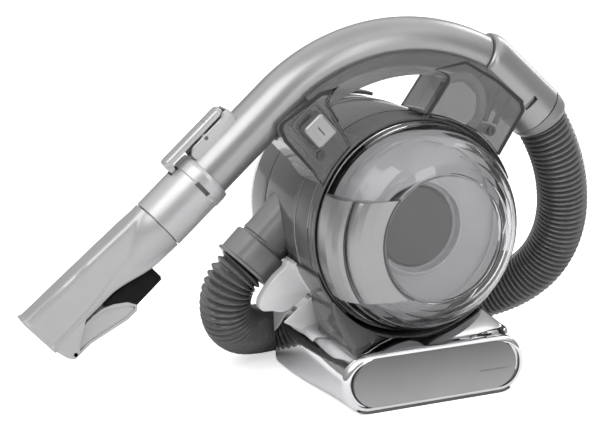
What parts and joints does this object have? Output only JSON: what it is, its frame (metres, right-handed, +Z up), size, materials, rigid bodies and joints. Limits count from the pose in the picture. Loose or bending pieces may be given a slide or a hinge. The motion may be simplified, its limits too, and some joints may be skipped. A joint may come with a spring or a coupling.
{
  "type": "handheld vacuum",
  "caption": "Canister-style handheld vacuum with a flexible hose, a wand that doubles as the handle, a clear dust bowl and a crevice nozzle with a flip-out brush.",
  "frame": {"origin": "centre of the base's flat underside, on the floor", "axes": "+Z up, -Y towards the dust bowl and front panel, +X towards the elbow and hose, -X towards the nozzle"},
  "size_m": [0.4614, 0.1955, 0.2765],
  "materials": {
    "chrome_shell": "polished chrome plate",
    "dark_plastic": "dark grey moulded plastic",
    "rubber_black": "matt black rubber",
    "screw_steel": "plated steel",
    "cell_wrap": "shrink-wrapped cell",
    "board_green": "solder-masked board",
    "silver_satin": "satin silver painted plastic",
    "silver_light": "light satin silver plastic",
    "smoke_clear": "smoke-tinted clear plastic",
    "pale_plastic": "pale grey plastic",
    "motor_steel": "drawn steel can",
    "cuff_grey": "mid grey plastic",
    "hose_grey": "semi-gloss grey corrugated hose",
    "bowl_clear": "clear polycarbonate with a light smoke tint",
    "filter_white": "pleated filter cloth",
    "fan_plastic": "moulded nylon",
    "bristle_black": "black nylon bristles"
  },
  "bodies": {
    "root": {"base_tray": "dark_plastic", "base_shell": "chrome_shell", "front_panel": "dark_plastic", "base_pads": "rubber_black", "base_screws": "screw_steel", "battery_cells": "cell_wrap", "cell_holder": "dark_plastic", "control_board": "board_green", "charge_socket": "dark_plastic", "cradle": "silver_satin", "lower_housing": "smoke_clear", "motor_housing": "silver_satin", "front_housing": "dark_plastic", "rear_housing": "dark_plastic", "vent_cover": "pale_plastic", "vent_catch": "pale_plastic", "exhaust_foam": "rubber_black", "fan_shroud": "dark_plastic", "motor_can": "motor_steel", "motor_end_cap": "dark_plastic", "motor_rings": "rubber_black", "motor_spider": "dark_plastic", "inlet_channel": "dark_plastic", "inlet_duct": "dark_plastic", "hose_cuff": "cuff_grey", "hose": "hose_grey", "drum_band": "smoke_clear", "frame_front": "smoke_clear", "frame_rear": "smoke_clear", "frame_screws": "screw_steel", "power_switch": "dark_plastic"},
    "slider": {"power_slider": "silver_light"},
    "bowl": {"dust_bowl": "bowl_clear", "bowl_seal": "rubber_black", "filter_frame": "dark_plastic", "filter_pleats": "filter_white", "filter_cap": "dark_plastic", "latch_grip": "silver_light"},
    "latch": {"latch_button": "silver_satin"},
    "fan": {"impeller": "fan_plastic", "motor_shaft": "screw_steel"},
    "wand": {"wand_grip": "silver_satin", "wand_tube": "silver_satin", "wand_elbow": "silver_light", "wand_cuff": "cuff_grey", "wand_collar": "silver_satin", "lever_housing": "silver_light", "lever_pin": "screw_steel", "lever_spring": "screw_steel"},
    "lever": {"release_lever": "silver_light"},
    "nozzle": {"nozzle_neck": "silver_satin", "crevice_nozzle": "silver_satin", "brush_pin": "screw_steel"},
    "brush": {"brush_flap": "silver_satin", "brush_bristles": "bristle_black"}
  },
  "joints": [
    {"name": "power_slide", "type": "slide", "parent": "root", "child": "slider", "axis": [-0.6561, 0, 0.7547], "range_m": [0, 0.0036]},
    {"name": "bowl_pull", "type": "slide", "parent": "root", "child": "bowl", "axis": [0, -1, 0], "range_m": [0, 0.1]},
    {"name": "latch_press", "type": "slide", "parent": "bowl", "child": "latch", "axis": [0, 1, 0], "range_m": [0, 0.002], "stiffness_N_per_m": 800},
    {"name": "fan_spin", "type": "hinge", "parent": "root", "child": "fan", "pos_m": [0, 0, 0.124], "axis": [0, 1, 0], "continuous": true},
    {"name": "wand_lift", "type": "slide", "parent": "root", "child": "wand", "axis": [0.342, 0, 0.9397], "range_m": [0, 0.08]},
    {"name": "lever_press", "type": "hinge", "parent": "wand", "child": "lever", "pos_m": [-0.15655, -0.02, 0.20091], "axis": [0, 1, 0], "range_deg": [0, 7], "stiffness_Nm_per_rad": 0.6},
    {"name": "nozzle_extend", "type": "slide", "parent": "wand", "child": "nozzle", "axis": [-0.749, 0, -0.6626], "range_m": [0, 0.08]},
    {"name": "brush_flip", "type": "hinge", "parent": "nozzle", "child": "brush", "pos_m": [-0.25657, -0.02, 0.0574], "axis": [0, 1, 0], "range_deg": [0, 170]}
  ]
}
